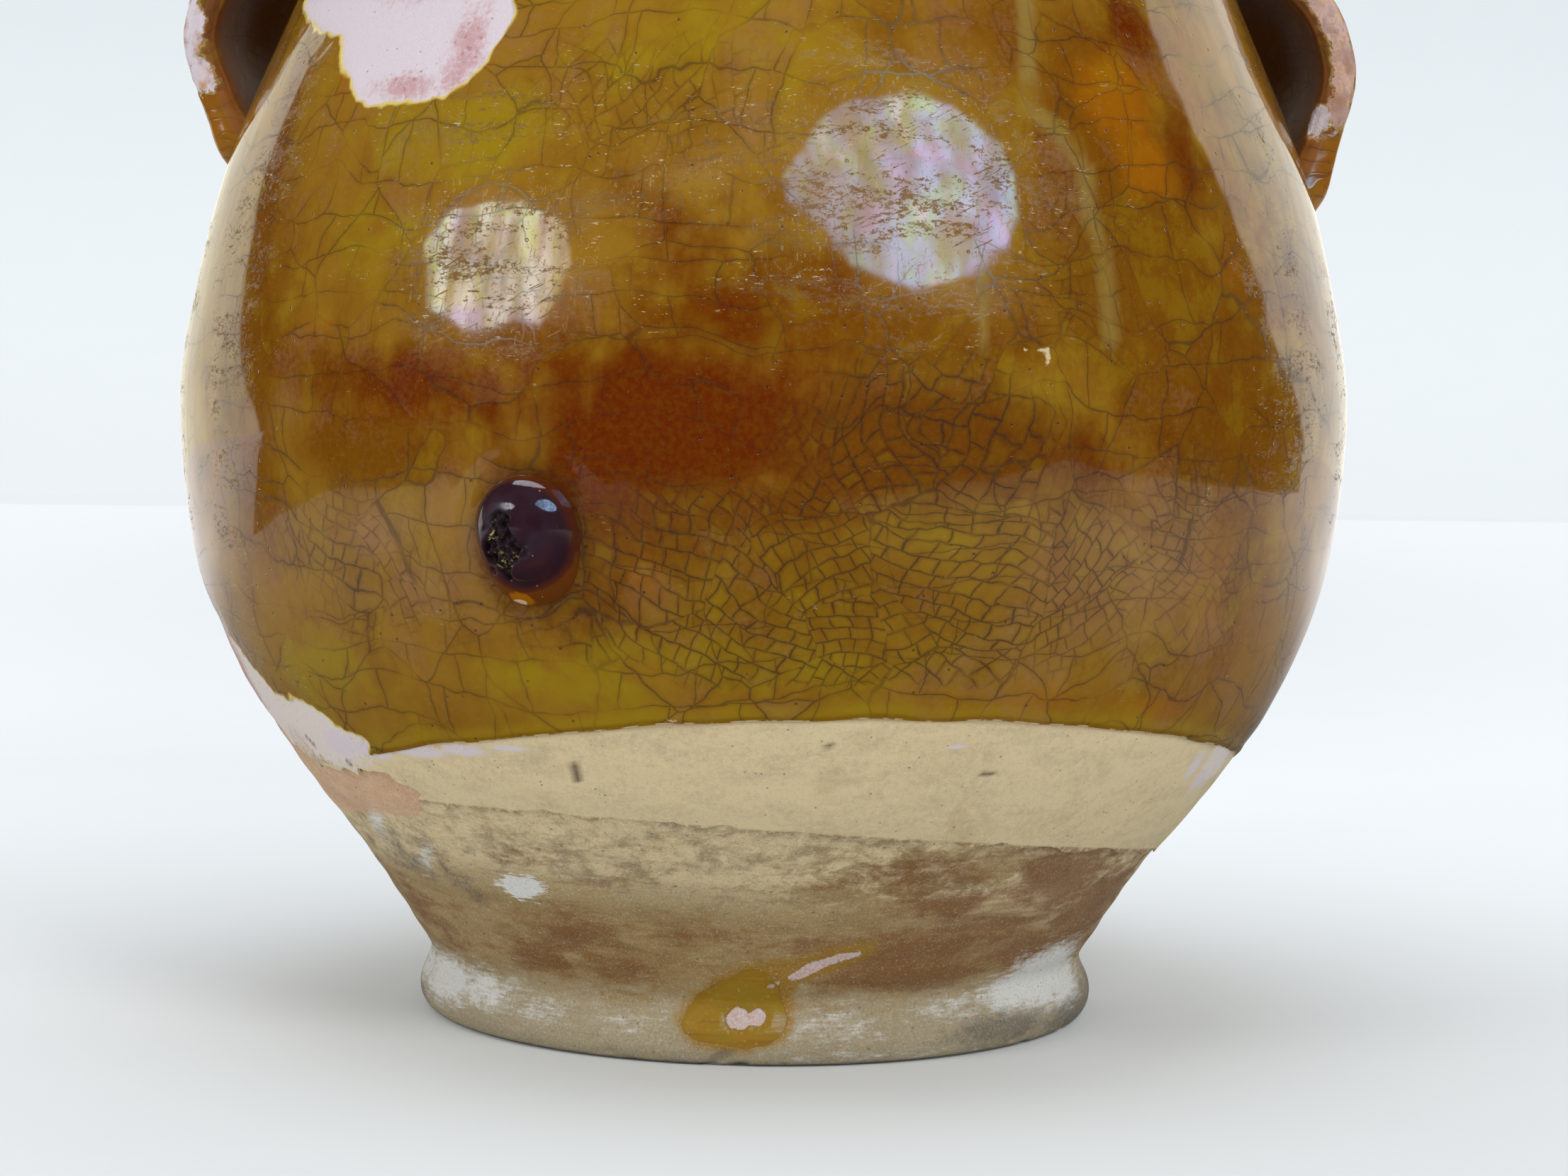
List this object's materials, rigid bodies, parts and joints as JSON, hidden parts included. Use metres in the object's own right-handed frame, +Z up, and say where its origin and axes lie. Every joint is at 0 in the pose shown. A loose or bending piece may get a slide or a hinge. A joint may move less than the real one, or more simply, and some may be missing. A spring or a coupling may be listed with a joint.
{
  "type": "confit pot",
  "caption": "Round-bellied glazed earthenware preserving pot with a flared lip, two small strap handles and a bare clay foot.",
  "frame": {"origin": "on the ground under the middle of the pot, on its turning axis", "axes": "+Z up along the turning axis, -Y towards the front with the fused lump, +X towards the right handle"},
  "size_m": [0.2419, 0.24, 0.255],
  "materials": {
    "fired_clay": "matt, unglazed earthenware",
    "white_slip": "matt slip under the glaze",
    "amber_glaze": "glossy crazed lead glaze",
    "lining_glaze": "glossy crazed lead glaze",
    "handle_glaze": "glossy glaze, worn to the clay on the edges",
    "dark_glaze": "glossy, nearly black glass",
    "run_glaze": "glossy run of glaze with chips"
  },
  "bodies": {
    "root": {"thrown_body": "fired_clay", "left_handle": "handle_glaze", "right_handle": "handle_glaze", "slip_coat": "white_slip", "outer_glaze": "amber_glaze", "inner_glaze": "lining_glaze", "glaze_boss": "dark_glaze", "foot_glaze_run": "run_glaze"}
  },
  "joints": []
}
